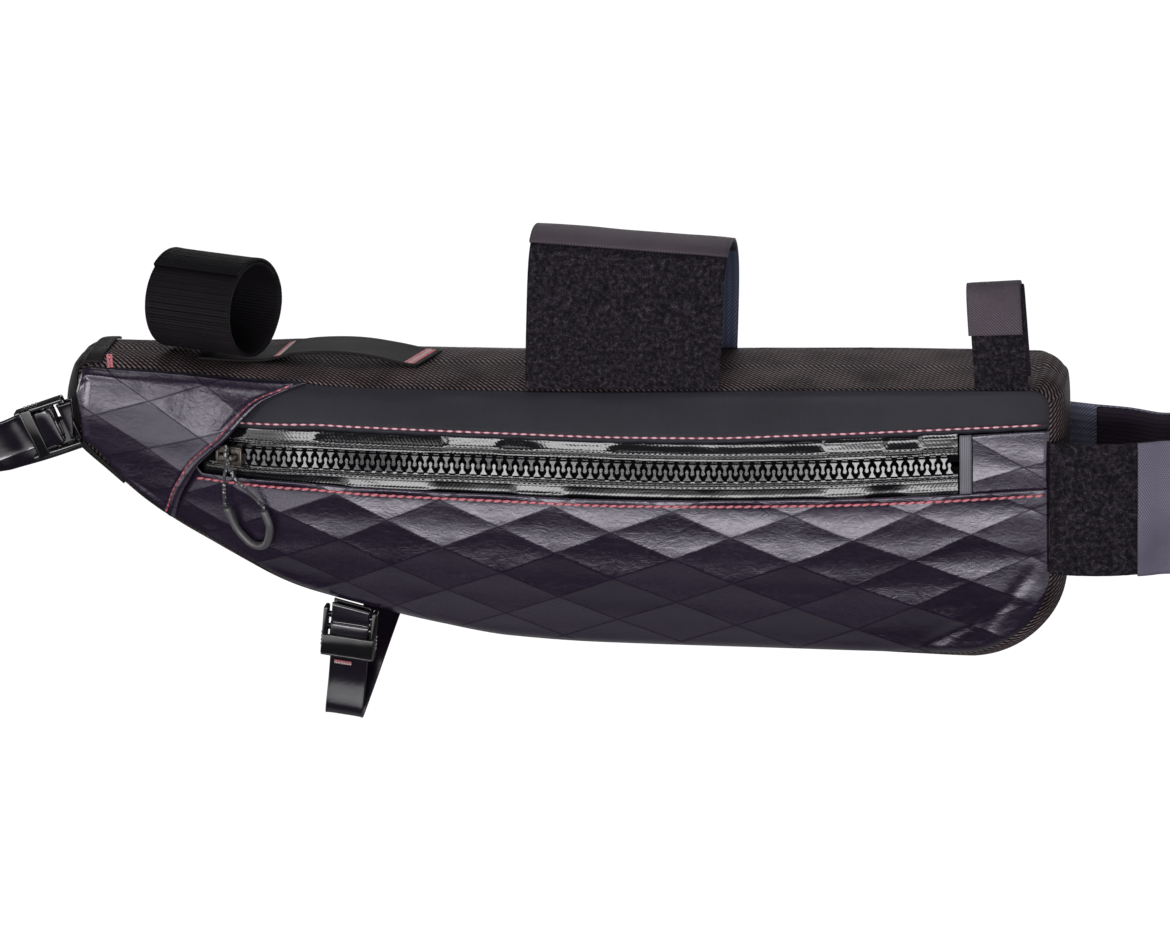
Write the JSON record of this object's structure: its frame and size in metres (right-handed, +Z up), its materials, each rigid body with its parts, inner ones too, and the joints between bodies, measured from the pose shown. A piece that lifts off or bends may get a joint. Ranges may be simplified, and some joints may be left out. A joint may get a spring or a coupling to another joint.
{
  "type": "bicycle frame bag",
  "caption": "Tapered cloth half-frame bag for a bicycle, with a long side zip under a nose flap, hook-and-loop tube straps and buckled webbing straps.",
  "frame": {"origin": "middle of the top gusset's flat strip, where the bag hangs under a top tube, halfway along and halfway across the body", "axes": "+X along the bag towards the seat tube, +Y towards the hidden side (the zip side faces -Y), +Z up"},
  "size_m": [0.6848, 0.0906, 0.2618],
  "materials": {
    "laminate": "semi-gloss diamond laminate",
    "plain_cloth": "matt plain weave",
    "gusset_mesh": "matt twill",
    "zip_tape": "glossy coated",
    "zip_teeth": "satin",
    "zip_tab": "matt",
    "slider_metal": "dark bronze",
    "pull_cord": "speckled braid",
    "pull_rubber": "matt",
    "pile": "pile",
    "hook": "matt hook tape back",
    "elastic": "ribbed",
    "webbing": "glossy webbing",
    "buckle": "gloss"
  },
  "bodies": {
    "root": {"gusset": "gusset_mesh", "side_panel": "laminate", "side_strip": "plain_cloth", "back_panel": "laminate", "nose_patch": "plain_cloth", "zip_garage": "laminate", "zip_tape_upper": "zip_tape", "zip_tape_lower": "zip_tape", "zip_chain": "zip_teeth", "zip_end_tab": "zip_tab", "zip_end_patch": "laminate", "zip_slider": "slider_metal", "pull_cord": "pull_cord", "pull_sleeve": "pull_rubber", "front_loop": "elastic", "daisy_strip": "elastic", "mid_loop_pile": "pile", "mid_loop_hook": "hook", "rear_loop_pile": "pile", "rear_loop_hook": "hook", "seat_loop_pile": "pile", "seat_loop_hook": "hook", "head_anchor": "webbing", "head_buckle": "buckle", "head_strap": "webbing", "drop_anchor": "webbing", "drop_buckle": "buckle", "drop_strap": "webbing"}
  },
  "joints": []
}
